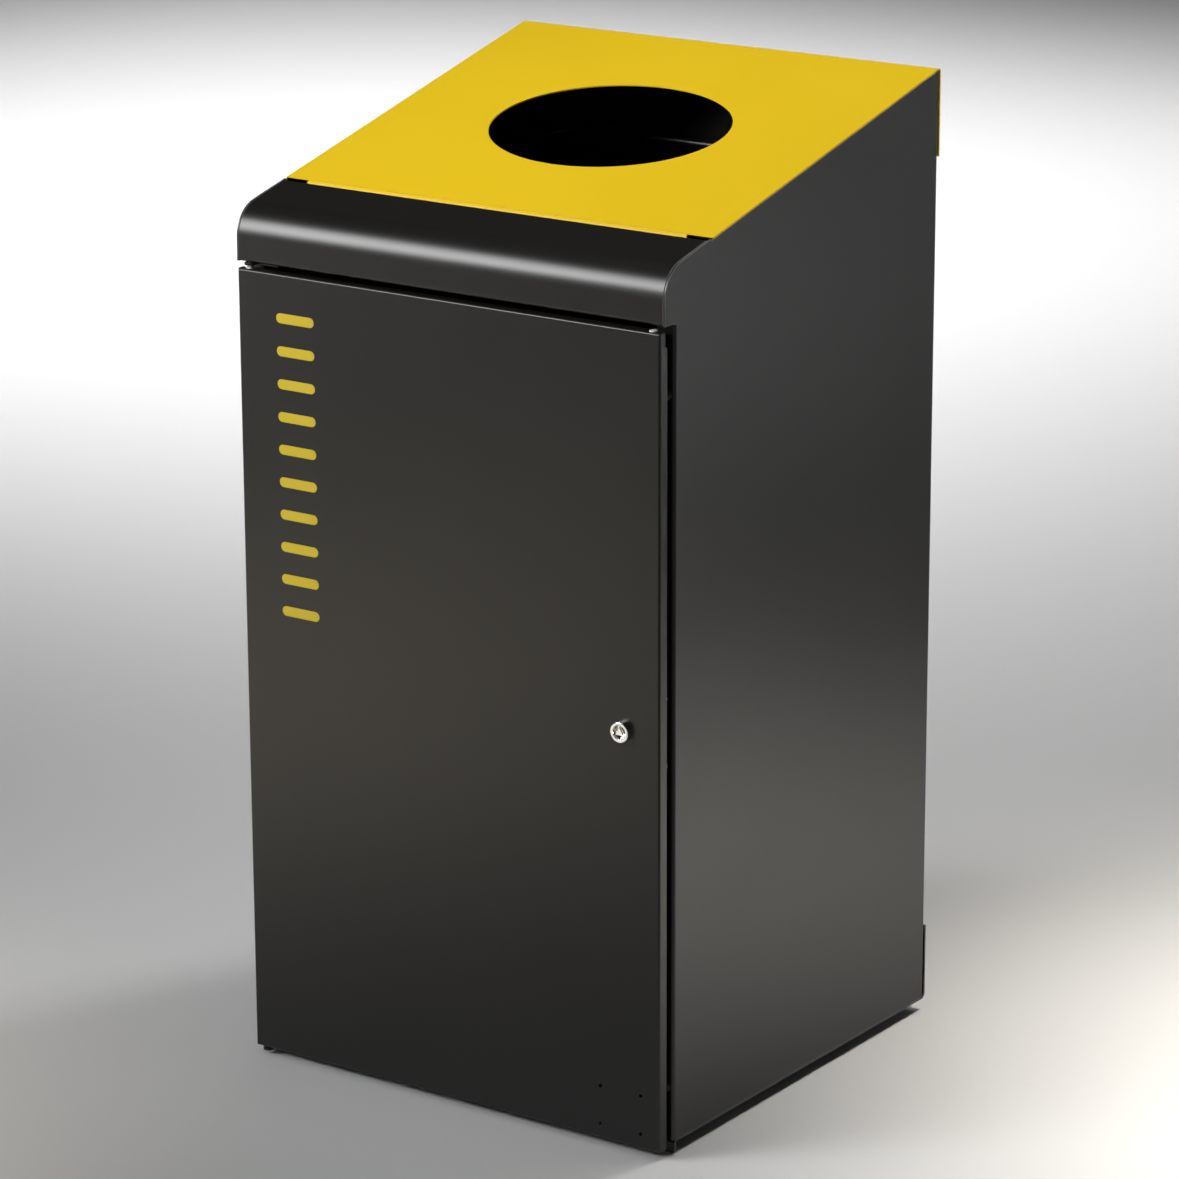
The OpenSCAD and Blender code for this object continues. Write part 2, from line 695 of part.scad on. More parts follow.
module lock_plug() color(chrome) difference() {
    union() {
        // Three-cornered spigot for the key, pointing up
        behind(-lock_proud + rest_gap) translate([lock_x, 0, lock_axis_z]) rotate([-90, 0, 0])
            linear_extrude(recess_h - rest_gap) rotate(-90) circle(r = key_side / sqrt(3), $fn = 3);
        bar_y(lock_x, -lock_proud + recess_h - rest_gap - plug_disc_h, lock_axis_z,
            recess_d / 2 - rest_gap, plug_disc_h);
        bar_y(lock_x, -lock_proud + recess_h - rest_gap, lock_axis_z, plug_r,
            cam_front + lock_proud - recess_h + rest_gap);
        behind(cam_front - past) translate([lock_x, (cam_t + past) / 2, lock_axis_z])
            cube([plug_square, cam_t + past, plug_square], center = true);
    }
    bar_y(lock_x, cam_back - cam_screw_l, lock_axis_z, cam_screw_r, cam_screw_l + past);
}

// Flat cam that hangs down at rest and turns behind the keeper
module lock_cam() color(zinc) difference() {
    union() {
        bar_y(lock_x, cam_front, lock_axis_z, cam_w / 2, cam_t);
        bar_y(lock_x, cam_front, lock_axis_z - cam_reach + cam_w / 2, cam_w / 2, cam_t);
        behind(cam_front) translate([lock_x - cam_w / 2, 0, lock_axis_z - cam_reach + cam_w / 2])
            cube([cam_w, cam_t, cam_reach - cam_w / 2]);
    }
    behind(cam_front - past) translate([lock_x, past + cam_t / 2, lock_axis_z])
        cube([cam_hole, cam_t + 2 * past, cam_hole], center = true);
}

module cam_screw() color(zinc) {
    bar_y(lock_x, cam_back, lock_axis_z, screw_head_r, screw_head_h);
    bar_y(lock_x, cam_back - cam_screw_l, lock_axis_z, cam_screw_r, cam_screw_l + past / 2);
}

// Wear plate on the rear of the right side panel's front return
module lock_keeper() color(zinc) difference() {
    behind(side_set + sheet) translate([keeper_x - return_w / 2 + sheet, 0, lock_axis_z - keeper_h / 2])
        cube([return_w - 2 * sheet, keeper_t, keeper_h]);
    for (z = keeper_rivet_zs) bar_y(keeper_x, side_set, z, rivet_r, sheet + keeper_t + past);
}

module keeper_rivets() color(zinc) for (z = keeper_rivet_zs)
    rivet_y(keeper_x, side_set, z, sheet + keeper_t);

// ---- Bag ring ----

// Plane of the bag ring: +X across, -Y down the slope from the rear rail's axis
module ring_plane() behind(ring_y) translate([0, 0, ring_z]) rotate([top_slope, 0, 0]) children();

module ring_arm(l) rotate([90, 0, 0]) cylinder(r = rod_r, h = l);

module bag_ring() color(ink) ring_plane() {
    x = ring_x - ring_corner_r;
    for (s = [-1, 1]) {
        translate([s * ring_x, -ring_corner_r, 0]) ring_arm(ring_l - 2 * ring_corner_r);
        translate([s * x, -ring_corner_r, 0]) ring_corner(s, 1);
        translate([s * x, ring_corner_r - ring_l, 0]) ring_corner(s, -1);
    }
    for (y = [0, -ring_l]) translate([-x, y, 0]) rotate([0, 90, 0]) cylinder(r = rod_r, h = 2 * x);
}

// Quarter bend of the ring's rod towards the side s and the end t
module ring_corner(s, t) scale([s, t, 1]) rotate_extrude(angle = 90) translate([ring_corner_r, 0])
    circle(r = rod_r);

// Nylon blocks in which the ring's rear rail turns
module ring_hinge_blocks() color(rubber) for (s = [-1, 1]) difference() {
    behind(block_front) translate([s * block_x - block_w / 2, 0, ring_z - block_h / 2])
        cube([block_w, back_in - block_front, block_h]);
    behind(ring_y) translate([s * block_x, 0, ring_z]) rotate([0, 90, 0])
        cylinder(r = rod_r + turn_fit, h = block_w + 2 * past, center = true);
    for (z = block_screw_zs)
        bar_y(s * block_x, back_in - block_screw_l, z, screw_r, block_screw_l + past);
}

module block_screw_places() for (s = [-1, 1], z = block_screw_zs)
    translate([s * block_x, 0, z]) children();

// Screws through the back panel into the hinge blocks
module ring_block_screws() color(zinc) block_screw_places() {
    bar_y(0, back_out, 0, block_screw_head_r, block_screw_head_h);
    bar_y(0, back_in - block_screw_l, 0, screw_r, block_screw_l + sheet + past / 2);
}

// Ledges on the side panels that carry the ring's arms
module ring_rests() color(zinc) for (s = [-1, 1]) behind(rest_y) {
    reach = side_in - ring_x + 2 * rod_r;
    translate([s * (side_in - reach / 2) - reach / 2, 0, rest_top - sheet])
        cube([reach, rest_d, sheet]);
    translate([s * (side_in - sheet / 2) - sheet / 2, 0, rest_top - rest_leg])
        cube([sheet, rest_d, rest_leg]);
}

// ---- Drawing ----

base_tray();
left_side_panel();
right_side_panel();
back_panel();
nose_cover();
nose_brackets();
top_panel();
feet();
foot_screws();
foot_nuts();
base_rivets();
back_rivets();
lip_rivets();
flange_screws();
upper_hinge_bracket();
lower_hinge_bracket();
bracket_rivets();
upper_hinge_pin();
lower_hinge_pin();
door_panel();
door_stiffener();
upper_hinge_bush();
lower_hinge_bush();
upper_plug();
lower_plug();
door_bars();
door_buffers();
lock_housing();
lock_nut();
lock_plug();
lock_cam();
cam_screw();
lock_keeper();
keeper_rivets();
bag_ring();
ring_hinge_blocks();
ring_block_screws();
ring_rests();
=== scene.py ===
import bmesh
import bpy
import math
from mathutils import Matrix, Vector


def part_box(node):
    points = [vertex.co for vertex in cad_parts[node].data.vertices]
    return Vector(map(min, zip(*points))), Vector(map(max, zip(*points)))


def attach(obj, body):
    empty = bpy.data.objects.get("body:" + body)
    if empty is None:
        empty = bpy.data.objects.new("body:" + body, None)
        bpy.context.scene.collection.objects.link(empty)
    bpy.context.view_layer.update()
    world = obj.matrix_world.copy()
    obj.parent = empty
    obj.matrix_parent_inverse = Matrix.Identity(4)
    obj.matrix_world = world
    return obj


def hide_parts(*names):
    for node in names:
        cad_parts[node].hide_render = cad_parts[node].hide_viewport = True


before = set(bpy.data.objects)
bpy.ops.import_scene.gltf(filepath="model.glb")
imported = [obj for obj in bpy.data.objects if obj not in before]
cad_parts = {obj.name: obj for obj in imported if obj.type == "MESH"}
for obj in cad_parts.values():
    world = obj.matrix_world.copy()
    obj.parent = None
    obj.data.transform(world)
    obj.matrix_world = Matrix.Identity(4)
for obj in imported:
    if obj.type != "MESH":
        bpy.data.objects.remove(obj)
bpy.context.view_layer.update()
bpy.context.scene.view_settings.view_transform = "Standard"

# ---- Base tray ----
# One folded steel sheet: a floor, a lip turned down at the front and a flange turned up behind
# the cabinet. Powder-coated, like every dark sheet of the bin, with its cut edges eased and a
# painted highlight on them.

MM = 0.001
weld_distance = 0.001 * MM
flat_below = math.radians(1)
sharp_above = math.radians(30)
crease_above = math.radians(50)
sheet_edge = 0.3 * MM


class Tone:
    """A socket of a finish's node tree. Maths on it adds Math nodes."""

    def __init__(self, finish, socket):
        self.finish = finish
        self.socket = socket

    def maths(self, operation, first, second):
        return self.finish.node("Math", {0: first, 1: second}, operation=operation)

    def __add__(self, other):
        return self.maths("ADD", self, other)

    def __mul__(self, other):
        return self.maths("MULTIPLY", self, other)

    __radd__ = __add__
    __rmul__ = __mul__


class Finish:
    """A procedural surface finish, with the record's slot that it belongs to."""

    def __init__(self, name, slot, **constants):
        self.slot = slot
        self.material = bpy.data.materials.new(name)
        self.material.use_nodes = True
        self.tree = self.material.node_tree
        self.shader = self.tree.nodes["Principled BSDF"]
        for socket, value in constants.items():
            self.shader.inputs[socket.replace("_", " ")].default_value = value
        self.place = self.node("TexCoord", {}, "Object")

    def feed(self, socket, value):
        if isinstance(value, Tone):
            self.tree.links.new(value.socket, socket)
        else:
            socket.default_value = value

    def node(self, kind, inputs, output=0, **settings):
        made = self.tree.nodes.new("ShaderNode" + kind)
        for name, value in settings.items():
            setattr(made, name, value)
        for key, value in inputs.items():
            self.feed(made.inputs[key], value)
        return Tone(self, made.outputs[output])

    def noise(self, size, detail=2.0):
        """Noise from 0 to 1 whose cells are about size metres across."""
        return self.node("TexNoise", {"Vector": self.place, "Scale": 1 / size, "Detail": detail})

    def blend(self, factor, low, high):
        """Colour that goes from low to high with the factor."""
        return self.node("Mix", {0: factor, 6: (*low, 1), 7: (*high, 1)}, 2, data_type="RGBA")

    def surface(self, colour, roughness, height, depth):
        """Feeds the shader. The height, from 0 to 1, stands for depth metres of relief."""
        bump = self.node("Bump", {"Height": height, "Distance": depth, "Strength": 1.0})
        for socket, value in (("Base Color", colour), ("Roughness", roughness), ("Normal", bump)):
            self.feed(self.shader.inputs[socket], value)


def grained(name, slot, low, high, dullness, grain_size, grain_depth, **constants):
    """A finish with fine grain over a softer swell, and slow drifts in tone and gloss."""
    made = Finish(name, slot, **constants)
    grain = made.noise(grain_size)
    swell = made.noise(9 * grain_size, 1.0)
    drift = made.noise(110 * MM, 1.0)
    colour = made.blend(grain * 0.35 + drift * 0.65, low, high)
    roughness = grain * 0.06 + drift * 0.05 + dullness
    made.surface(colour, roughness, grain * 0.5 + swell * 0.5, grain_depth)
    return made


dark_paint = grained("anthracite_powder_coat", "dark_paint", (0.0075, 0.0070, 0.0064),
                     (0.0105, 0.0098, 0.0090), 0.25, 0.45 * MM, 0.01 * MM)
# Much lighter tone for the eased edges of the tray, the side panels and the nose: a painted
# highlight along those edges.
edge_highlight_paint = grained("anthracite_painted_edge_highlight", "dark_paint", (0.14, 0.137, 0.131),
                     (0.30, 0.294, 0.281), 0.28, 0.9 * MM, 0.01 * MM)


def cad_mesh(node):
    """A node's mesh with its loose corners joined."""
    mesh = bmesh.new()
    mesh.from_mesh(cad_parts[node].data)
    bmesh.ops.remove_doubles(mesh, verts=mesh.verts, dist=weld_distance)
    return mesh


def piece(name, mesh, body, finish, *nodes):
    """Makes an object of a mesh, on its body, in place of CAD nodes."""
    bmesh.ops.recalc_face_normals(mesh, faces=mesh.faces)
    for face in mesh.faces:
        face.smooth = True
    data = bpy.data.meshes.new(name)
    mesh.to_mesh(data)
    mesh.free()
    data.set_sharp_from_angle(angle=crease_above)
    made = bpy.data.objects.new(name, data)
    bpy.context.scene.collection.objects.link(made)
    made.data.materials.append(finish.material)
    made.modifiers.new("normals", "WEIGHTED_NORMAL").keep_sharp = True
    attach(made, body)
    if nodes:
        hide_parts(*nodes)
    return made


def eased(name, node, body, finish, radius=sheet_edge, rim=None):
    """A piece of its node's shape, with whole flat faces, and rounded edges in the rim's finish."""
    mesh = cad_mesh(node)
    bmesh.ops.dissolve_limit(mesh, angle_limit=flat_below, verts=mesh.verts, edges=mesh.edges)
    sharp = [e for e in mesh.edges if len(e.link_faces) == 2 and e.calc_face_angle() > sharp_above]
    bmesh.ops.bevel(mesh, geom=sharp, offset=radius, segments=2, profile=0.5,
                    affect="EDGES", clamp_overlap=False, material=1)
    low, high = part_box(node)
    for v in mesh.verts:
        v.co = [min(max(v.co[i], low[i]), high[i]) for i in range(3)]
    made = piece(name, mesh, body, finish, node)
    made.data.materials.append((rim or finish).material)
    return made


eased("base_tray_sheet", "base_tray", "cabinet", dark_paint, rim=edge_highlight_paint)

# ---- Feet ----
# Four round rubber feet under the tray, each moulded with a draft, a rounded rim and a recess.
# A zinc-plated screw goes up through each one and takes a hexagon nut inside the cabinet.

rubber = grained("moulded_rubber", "rubber", (0.008, 0.008, 0.008), (0.015, 0.015, 0.014), 0.68,
                 0.8 * MM, 0.03 * MM, Specular_IOR_Level=0.3)
zinc = grained("zinc_plate", "zinc_steel", (0.40, 0.40, 0.38), (0.62, 0.62, 0.60), 0.30,
               1.6 * MM, 0.008 * MM, Metallic=1.0)
turning_steps = 48


def solid_boxes(node):
    """Lowest and highest corner of each separate solid of a node."""
    mesh = cad_mesh(node)
    waiting = set(mesh.verts)
    boxes = []
    while waiting:
        solid = [min(waiting, key=lambda v: v.index)]
        waiting.remove(solid[0])
        for v in solid:
            beside = {e.other_vert(v) for e in v.link_edges} & waiting
            waiting -= beside
            solid += beside
        boxes.append([Vector([pick(v.co[i] for v in solid) for i in range(3)])
                      for pick in (min, max)])
    mesh.free()
    return boxes


def turn(mesh, base, axis, rows):
    """Turns rows of (radius, height) in millimetres about an axis that starts at base.

    A row may go on with a number of sides and a start angle, in degrees. It is then a polygon
    whose corners lie on the radius.
    """
    to_axis = Vector(axis).to_track_quat("Z", "Y").to_matrix()
    rings = []
    for radius, height, *polygon in rows:
        ring = []
        for k in range(turning_steps if radius else 1):
            angle = math.tau * k / turning_steps
            reach = radius
            if polygon:
                part = math.tau / polygon[0]
                past_corner = (angle - math.radians(polygon[1]) + 1e-6) % part
                reach = radius * math.cos(part / 2) / math.cos(past_corner - part / 2)
            spot = Vector((reach * math.cos(angle), reach * math.sin(angle), height)) * MM
            ring.append(mesh.verts.new(base + to_axis @ spot))
        rings.append(ring)
    for low, high in zip(rings, rings[1:]):
        for k in range(turning_steps):
            corners = [ring[j % len(ring)] for ring, j in
                       ((low, k), (low, k + 1), (high, k + 1), (high, k))]
            mesh.faces.new(dict.fromkeys(corners))


def turned_set(name, node, body, finish, axis, rows_for):
    """Turned pieces in place of a node's solids. rows_for gives the rows for a solid's length."""
    mesh = bmesh.new()
    along = Vector(axis)
    for low, high in solid_boxes(node):
        length = abs((high - low).dot(along))
        turn(mesh, (low + high) / 2 - along * length / 2, axis, rows_for(length / MM))
    bmesh.ops.remove_doubles(mesh, verts=mesh.verts, dist=weld_distance)
    return piece(name, mesh, body, finish, node)


def foot_rows(length):
    """Foot with its recess at height 0."""
    radius, recess, hole, depth = 15, 4.8, 2.8, 4
    return [(hole, depth), (recess, depth), (recess, 0.4), (recess + 0.4, 0), (radius - 1.8, 0),
            (radius - 1.1, 0.3), (radius - 0.7, 1), (radius, length - 1),
            (radius - 0.2, length - 0.3), (radius - 0.8, length), (hole, length), (hole, depth)]


def threads(radius, low, high):
    """Thread of a screw: grooves a millimetre apart from low to high."""
    groove = 0.35
    starts = [low + i for i in range(int(high - low))]
    return [row for h in starts for row in ((radius, h), (radius - groove, h + 0.5))]


def foot_screw_rows(length):
    """Cap screw with a hexagon socket. Its head is at height 0."""
    shank, head, head_height, socket, socket_depth = 2.5, 4.5, 3, 1.9, 1.8
    return [(0, socket_depth), (socket, socket_depth, 6, 0), (socket, 0.1, 6, 0),
            (socket + 0.5, 0), (head - 0.5, 0), (head, 0.5), (head, head_height),
            (shank, head_height), *threads(shank, head_height + 1, length - 1),
            (shank, length - 0.6), (shank - 0.5, length), (0, length)]


def nut_rows(width, bore):
    """Rows of a hexagon nut, for its width across flats and the radius of its bore."""
    corner = width / math.sqrt(3)
    rim = 0.96 * width / 2
    chamfer = 0.5
    return lambda length: [(bore, 0), (rim, 0), (corner, chamfer, 6, 0),
                           (corner, length - chamfer, 6, 0), (rim, length), (bore, length),
                           (bore, 0)]


turned_set("rubber_feet", "feet", "cabinet", rubber, (0, 0, 1), foot_rows)
turned_set("foot_screw_set", "foot_screws", "cabinet", zinc, (0, 0, 1), foot_screw_rows)
turned_set("foot_nut_set", "foot_nuts", "cabinet", zinc, (0, 0, 1), nut_rows(8, 2.55))

# ---- Side panels ----
# Two mirrored sheets with a rounded cheek beside the nose, and returns turned inwards at the
# front, rear, top and bottom. Pop rivets fix them to the base tray.

# Their eased edges take the lighter tone, a painted highlight.
eased("left_side_sheet", "left_side_panel", "cabinet", dark_paint, rim=edge_highlight_paint)
eased("right_side_sheet", "right_side_panel", "cabinet", dark_paint, rim=edge_highlight_paint)


def rivet_rows(length):
    """Pop rivet. The head at height 0 is domed round the hole of its mandrel."""
    shank, head, head_height, mandrel = 1.6, 3.2, 1.2, 0.8
    return [(0, 0.7), (mandrel, 0.7), (mandrel + 0.15, 0.1), (1.4, 0), (2.3, 0.25),
            (head - 0.3, 0.7), (head, head_height), (shank, head_height),
            (shank, length - head_height), (head - 0.5, length - head_height),
            (head, length - 0.8), (head - 0.2, length - 0.3), (2.2, length), (1, length - 0.1),
            (0, length - 0.1)]


turned_set("base_rivet_set", "base_rivets", "cabinet", zinc, (0, 0, 1), rivet_rows)

# ---- Back panel ----
# A flat sheet inside the side panels' rear returns, laser cut and powder coated like the rest.
# It is held by two columns of zinc-plated pop rivets, set through the returns from behind.

eased("back_sheet", "back_panel", "cabinet", dark_paint)
turned_set("back_rivet_set", "back_rivets", "cabinet", zinc, (0, -1, 0), rivet_rows)

# ---- Nose cover ----
# One sheet rolled over the front edge, from the lip under the top panel down to a return above
# the door. Two small zinc-plated angles join its lower return to the side panels.

# Its eased edges take the lighter tone, a painted highlight.
eased("nose_sheet", "nose_cover", "cabinet", dark_paint, rim=edge_highlight_paint)
eased("nose_angles", "nose_brackets", "cabinet", zinc, 0.2 * MM)

# ---- Top panel ----
# A sloping sheet with an oval drop opening, a lip at the front and a flange down the back, in
# smooth yellow powder coat. Pop rivets hold the lip, and pan-head screws hold the flange.

yellow_paint = grained("yellow_powder_coat", "yellow_panel", (0.80, 0.535, 0.009),
                       (0.88, 0.595, 0.012), 0.36, 0.4 * MM, 0.01 * MM,
                       Specular_IOR_Level=0.25)
eased("top_sheet", "top_panel", "cabinet", yellow_paint)
turned_set("lip_rivet_set", "lip_rivets", "cabinet", zinc, (0, 1, 0), rivet_rows)


def pan_screw_rows(head_radius, head_height):
    """Rows of a screw with a domed head and a hexagon socket. Its tip is at height 0."""
    shank, socket, socket_depth = 2, 1.4, 1.1

    def rows(length):
        seat = length - head_height
        return [(0, 0), (shank - 0.5, 0), *threads(shank, 0.5, seat), (shank, seat),
                (head_radius, seat), (head_radius, seat + 0.6),
                (0.85 * head_radius, length - 0.3), (0.6 * head_radius, length),
                (socket + 0.1, length), (socket, length - 0.1, 6, 0),
                (socket, length - socket_depth, 6, 0), (0, length - socket_depth - 0.1)]
    return rows


turned_set("flange_screw_set", "flange_screws", "cabinet", zinc, (0, 1, 0), pan_screw_rows(4, 2))

# ---- Hinge brackets and pins ----
# Two steel plates with a tongue that reaches the door's hinge axis, each riveted to a lip of
# the cabinet with flush rivets. A turned pin with chamfered ends is pressed into each tongue.

eased("upper_hinge_plate", "upper_hinge_bracket", "cabinet", dark_paint)
eased("lower_hinge_plate", "lower_hinge_bracket", "cabinet", dark_paint)
eased("bracket_rivet_set", "bracket_rivets", "cabinet", zinc, 0.2 * MM)


def pin_rows(length):
    """Round pin with a chamfer at both ends."""
    radius, chamfer = 2, 0.4
    return [(0, 0), (radius - chamfer, 0), (radius, chamfer), (radius, length - chamfer),
            (radius - chamfer, length), (0, length)]


turned_set("upper_hinge_pivot", "upper_hinge_pin", "cabinet", zinc, (0, 0, 1), pin_rows)
turned_set("lower_hinge_pivot", "lower_hinge_pin", "cabinet", zinc, (0, 0, 1), pin_rows)

# ---- Door ----
# A steel tray folded on all four sides, cut back at the top of its side returns. A hat-section
# channel, held by two columns of spot welds, stiffens its face from behind.

eased("door_sheet", "door_panel", "door", dark_paint)
eased("door_channel", "door_stiffener", "door", dark_paint)

channel_sheet = 1.5 * MM
weld_pitch = 58 * MM
weld_inset = 6 * MM
weld_sink = 0.02 * MM
weld_rows = [(0, 0), (2.6, 0), (2.4, 0.12), (1.6, 0.15), (1.2, 0.05), (0, 0.05)]
channel_low, channel_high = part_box("door_stiffener")
weld_y = channel_low[1] + channel_sheet - weld_sink
weld_count = int((channel_high[2] - channel_low[2]) / weld_pitch)
weld_start = ((channel_high[2] + channel_low[2]) - (weld_count - 1) * weld_pitch) / 2
welds = bmesh.new()
for weld_x in (channel_low[0] + weld_inset, channel_high[0] - weld_inset):
    for i in range(weld_count):
        turn(welds, Vector((weld_x, weld_y, weld_start + i * weld_pitch)), (0, 1, 0), weld_rows)
piece("door_spot_welds", welds, "door", dark_paint)

# ---- Bushes and plugs of the door ----
# Moulded nylon bushes that turn on the hinge pins, with plugs in the matching holes of the
# other side. The upper ones are white and the lower ones black.

white_nylon = grained("white_nylon", "white_nylon", (0.72, 0.72, 0.68), (0.82, 0.82, 0.79), 0.42,
                      0.5 * MM, 0.01 * MM)
black_nylon = grained("black_nylon", "black_nylon", (0.010, 0.010, 0.010), (0.016, 0.016, 0.015),
                      0.45, 0.5 * MM, 0.015 * MM)


def plug_rows(length):
    """Plug with a flange, which is at height 0, and a lead-in."""
    flange, body = 3.4, 2.75
    return [(0, 0), (flange - 0.5, 0), (flange - 0.1, 0.2), (flange, 0.5), (flange, 1), (body, 1),
            (body, length - 0.4), (body - 0.25, length), (0, length)]


def bush_rows(length):
    """The same as the plug, with a bore."""
    bore = 2.05
    return [(bore, 0.2), (bore + 0.2, 0), *plug_rows(length)[1:-1], (bore, length), (bore, 0.2)]


turned_set("upper_bush_moulding", "upper_hinge_bush", "door", white_nylon, (0, 0, -1), bush_rows)
turned_set("lower_bush_moulding", "lower_hinge_bush", "door", black_nylon, (0, 0, 1), bush_rows)
turned_set("upper_plug_moulding", "upper_plug", "door", white_nylon, (0, 0, -1), plug_rows)
turned_set("lower_plug_moulding", "lower_plug", "door", black_nylon, (0, 0, 1), plug_rows)

# ---- Door bars ----
# Ten plain bars cut from yellow vinyl film and stuck on the door's face in one column. The film
# takes a little of the paint's texture from below.

yellow_film = grained("yellow_vinyl_film", "yellow_film", (0.60, 0.45, 0.012), (0.68, 0.52, 0.015),
                      0.36, 0.9 * MM, 0.008 * MM)
eased("door_bar_film", "door_bars", "door", yellow_film, 0.06 * MM)

# ---- Door buffers ----
# Two moulded rubber buffers with a rounded front, on the right side panel's front return. The
# closed door almost meets them.


def buffer_rows(length):
    """Buffer with a rounded end."""
    radius = 4
    return [(0, 0), (radius, 0), (radius, length - 1.6), (radius - 0.2, length - 0.8),
            (radius - 0.7, length - 0.2), (radius - 1.4, length), (0, length)]


turned_set("rubber_buffer_set", "door_buffers", "cabinet", rubber, (0, -1, 0), buffer_rows)

# ---- Lock ----
# A chrome-plated cam lock: a housing with a round recess and a threaded barrel, held by a nut
# behind the door's face, and a plug that ends in a post for a three-cornered key. A zinc-plated
# cam is screwed to the plug and turns behind a wear plate, the keeper.

chrome = grained("bright_chrome", "chrome", (0.80, 0.80, 0.81), (0.88, 0.88, 0.89), 0.03,
                 3 * MM, 0.0006 * MM, Metallic=1.0)


def housing_rows(length):
    """Housing from the end of its barrel out to its face and down into its recess."""
    barrel, face, recess, bore, proud, depth = 6, 8.25, 5.75, 4.05, 5, 4.5
    collar = length - proud
    return [(bore, 0), (barrel - 0.5, 0), *threads(barrel, 0.5, collar - 4.5),
            (barrel, collar - 4.3), (barrel, collar), (face, collar), (face, length - 0.6),
            (face - 0.1, length - 0.25), (face - 0.35, length - 0.05), (face - 0.55, length),
            (recess + 0.25, length), (recess + 0.07, length - 0.08), (recess, length - 0.25),
            (recess, length - depth), (bore, length - depth), (bore, 0)]


def lock_plug_rows(length):
    """Plug from its square end, with the cam screw's hole, to its three-cornered post."""
    hole, hole_depth, square_length, shaft, disc, disc_height = 2, 8, 2.5, 4, 5.45, 0.8
    square = 5.6 / math.sqrt(2)
    post = 8 / math.sqrt(3)
    low = length - 3.9
    high = low + disc_height
    return [(0, hole_depth), (hole, hole_depth), (hole, 0), (square - 0.2, 0, 4, 45),
            (square, 0.2, 4, 45), (square, square_length, 4, 45), (shaft, square_length),
            (shaft, low), (disc - 0.15, low), (disc, low + 0.15), (disc, high - 0.15),
            (disc - 0.15, high), (post, high, 3, 90), (post, length - 0.4, 3, 90),
            (post - 0.5, length, 3, 90), (0, length)]


turned_set("lock_housing_turned", "lock_housing", "door", chrome, (0, -1, 0), housing_rows)
turned_set("lock_nut_turned", "lock_nut", "door", zinc, (0, 1, 0), nut_rows(17, 6))
turned_set("lock_plug_turned", "lock_plug", "lock", chrome, (0, -1, 0), lock_plug_rows)
eased("lock_cam_plate", "lock_cam", "lock", zinc, 0.25 * MM)
turned_set("cam_screw_turned", "cam_screw", "lock", zinc, (0, 1, 0), pan_screw_rows(4, 2))
eased("keeper_plate", "lock_keeper", "cabinet", zinc, 0.2 * MM)
turned_set("keeper_rivet_set", "keeper_rivets", "cabinet", zinc, (0, 1, 0), rivet_rows)

# ---- Bag ring ----
# A painted steel rod bent into a rectangle with wide corners, which holds the bag's mouth. It
# turns in two black nylon blocks, screwed on from behind, and lies on two zinc-plated ledges.

rod_radius = 4 * MM
corner_radius = 40 * MM
corner_steps = 20
rod_steps = 24
ring_low, ring_high = (Vector(corner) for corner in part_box("bag_ring"))
inward = Vector((rod_radius, rod_radius, rod_radius))
rear_right = ring_high - inward
front_left = ring_low + inward
rear_middle = Vector((0, rear_right.y, rear_right.z))
along_slope = Vector((0, front_left.y, front_left.z)) - rear_middle
ring_length = along_slope.length
across = Vector((1, 0, 0))
uphill = -along_slope.normalized()
ring_normal = across.cross(uphill)
corner_x = rear_right.x - corner_radius
ring = bmesh.new()
sections = []
for quarter, (side, down) in enumerate(((1, corner_radius), (-1, corner_radius),
                                        (-1, ring_length - corner_radius),
                                        (1, ring_length - corner_radius))):
    centre = rear_middle + side * corner_x * across - down * uphill
    for i in range(corner_steps + 1):
        angle = math.tau / 4 * (quarter + i / corner_steps)
        outward = across * math.cos(angle) + uphill * math.sin(angle)
        sections.append([ring.verts.new(
            centre + corner_radius * outward
            + rod_radius * (outward * math.cos(math.tau * k / rod_steps)
                            + ring_normal * math.sin(math.tau * k / rod_steps)))
            for k in range(rod_steps)])
for near, far in zip(sections, sections[1:] + sections[:1]):
    for k in range(rod_steps):
        ring.faces.new((near[k - 1], near[k], far[k], far[k - 1]))
piece("bag_ring_rod", ring, "bag_ring", dark_paint, "bag_ring")

eased("ring_block_mouldings", "ring_hinge_blocks", "cabinet", black_nylon, 0.6 * MM)
turned_set("ring_block_screw_set", "ring_block_screws", "cabinet", zinc, (0, 1, 0),
           pan_screw_rows(3.2, 1.6))
eased("ring_ledges", "ring_rests", "cabinet", zinc, 0.2 * MM)

# ---- Studio ----
# A pale floor under soft boxes. The paint is nearly black, so its look comes from what it
# reflects: the key box in the nose, and pools of light on the floor in the door and the side.

floor_finish = Finish("studio_floor", "floor", Roughness=0.9, Specular_IOR_Level=0.2)
floor_finish.shader.inputs["Base Color"].default_value = (0.8, 0.8, 0.8, 1)
bpy.ops.mesh.primitive_plane_add(size=60)
floor = bpy.context.object
floor.name = "studio_floor"
floor.data.materials.append(floor_finish.material)


def soft_box(name, place, target, size, radiance, spread, colour=(1, 1, 1), roll=0):
    """A rectangular light. Its grid lets light out within the spread, in degrees."""
    light = bpy.data.lights.new(name, "AREA")
    light.shape = "RECTANGLE"
    light.size, light.size_y = size
    half = math.radians(spread / 2)
    grid_loss = (math.tan(half) - half) / math.tan(half)
    light.energy = 4 * size[0] * size[1] * radiance * grid_loss
    light.spread = 2 * half
    light.color = colour
    made = bpy.data.objects.new(name, light)
    made.location = place
    aim = (Vector(target) - Vector(place)).to_track_quat("-Z", "Y").to_matrix()
    made.rotation_euler = (aim @ Matrix.Rotation(math.radians(roll), 3, "Z")).to_euler()
    bpy.context.scene.collection.objects.link(made)


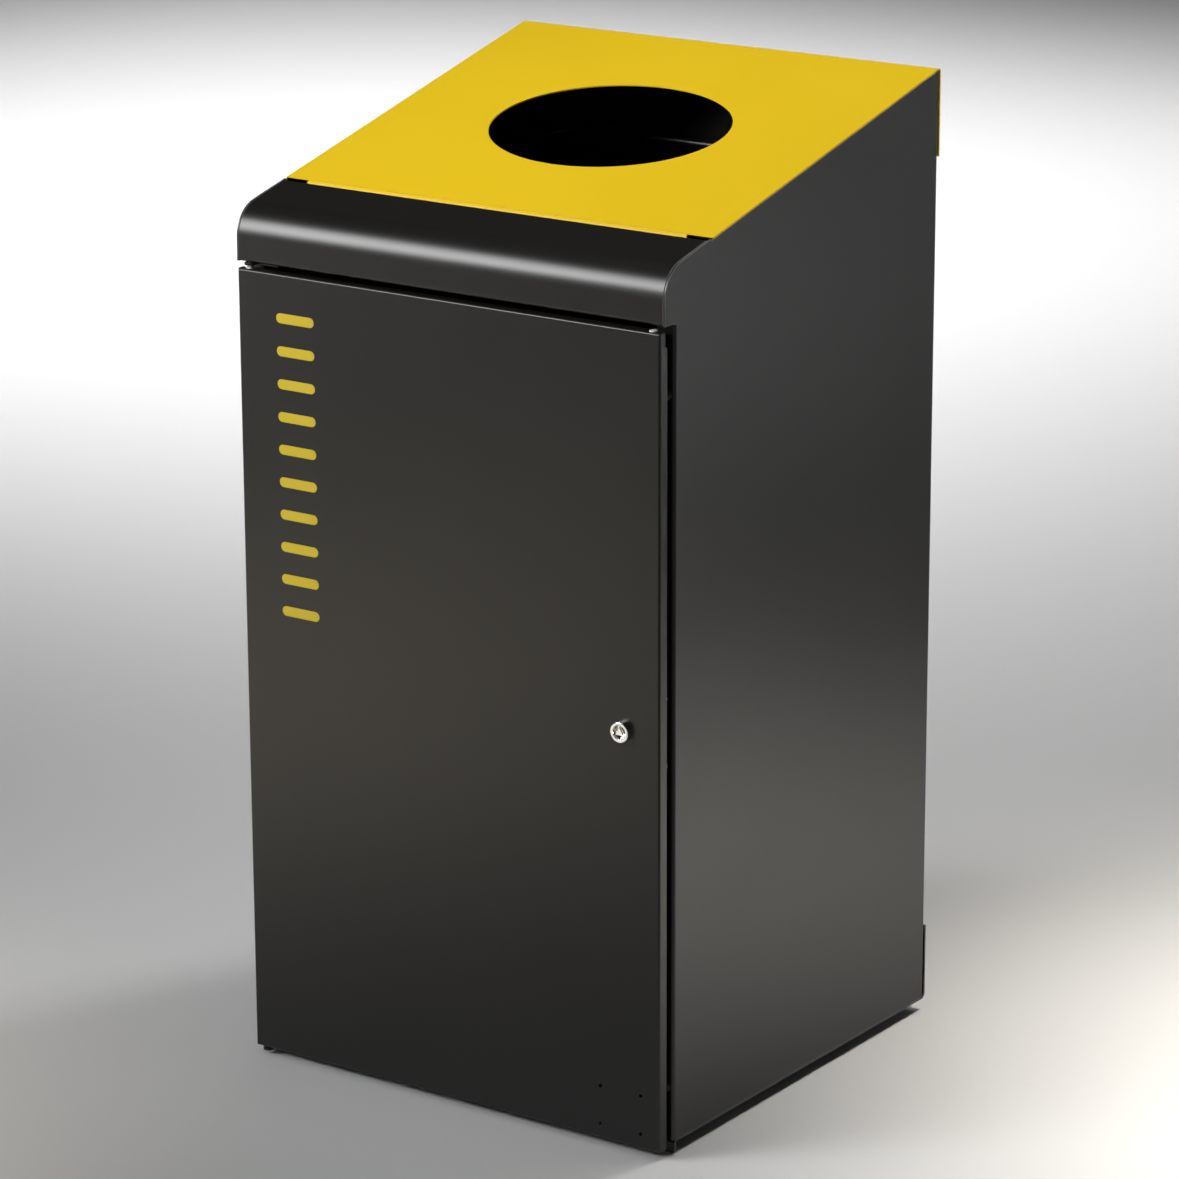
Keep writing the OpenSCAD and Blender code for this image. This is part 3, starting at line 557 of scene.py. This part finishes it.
soft_box("key_box", (-1.40, -1.80, 1.74), (0, 0, 0.84), (1.6, 1.15), 15, 55, roll=38)
soft_box("overhead_box", (0, -0.3, 3.4), (0, 0, 0), (1.2, 1.2), 2.3, 170)
soft_box("top_box", (0.8, 1.9, 3.3), (0, -0.25, 0.72), (0.6, 0.6), 45, 32)
soft_box("front_pool_box", (-0.9, -1.1, 2.2), (-0.9, -1.1, 0), (0.4, 0.4), 150, 48, (1, 0.9, 0.7))
soft_box("far_pool_box", (-2.7, -2.3, 2.0), (-2.7, -2.3, 0), (0.5, 0.5), 250, 45)
soft_box("right_pool_box", (0.80, 0.38, 1.9), (0.80, 0.38, 0), (0.35, 0.35), 180, 47,
         (1, 0.95, 0.87))
soft_box("right_far_box", (2.3, 2.0, 2.0), (2.3, 2.0, 0), (0.5, 0.5), 340, 40)
soft_box("background_box", (-2.1, 2.5, 3.2), (-2.1, 2.5, 0), (3.2, 3.2), 13, 60)
for i in range(1, 6):
    around = math.radians(130 + 60 * i)
    spot = (6.6 * math.cos(around), 6.6 * math.sin(around))
    soft_box(f"round_box_{i}", (*spot, 3.6), (*spot, 0), (4, 4), 6, 80)

# Dim air with a pale band above the horizon
world = bpy.data.worlds.new("studio_air")
world.use_nodes = True
air = world.node_tree
height = air.nodes.new("ShaderNodeSeparateXYZ")
band = air.nodes.new("ShaderNodeMapRange")
air.links.new(air.nodes.new("ShaderNodeTexCoord").outputs["Generated"], height.inputs[0])
air.links.new(height.outputs["Z"], band.inputs["Value"])
for socket, value in (("From Min", 0.12), ("From Max", 0.38), ("To Min", 0.2), ("To Max", 0.02)):
    band.inputs[socket].default_value = value
air.links.new(band.outputs["Result"], air.nodes["Background"].inputs["Strength"])
air.nodes["Background"].inputs["Color"].default_value = (1, 1, 1, 1)
bpy.context.scene.world = world

# Camera at the height of an eye, a few metres away, with a long lens
camera_place = Vector((2.1269, -3.0344, 1.4753))
camera_azimuth = math.radians(35.04)
camera_elevation = math.radians(16.43)
camera_roll = math.radians(-0.2)
back = Vector((math.sin(camera_azimuth) * math.cos(camera_elevation),
               -math.cos(camera_azimuth) * math.cos(camera_elevation), math.sin(camera_elevation)))
right = Vector((math.cos(camera_azimuth), math.sin(camera_azimuth), 0))
camera = bpy.data.objects.new("camera", bpy.data.cameras.new("camera"))
camera.data.lens = 145.9
camera.matrix_world = (Matrix.Translation(camera_place)
                       @ Matrix((right, back.cross(right), back)).transposed().to_4x4()
                       @ Matrix.Rotation(camera_roll, 4, "Z"))
bpy.context.scene.collection.objects.link(camera)
bpy.context.scene.camera = camera
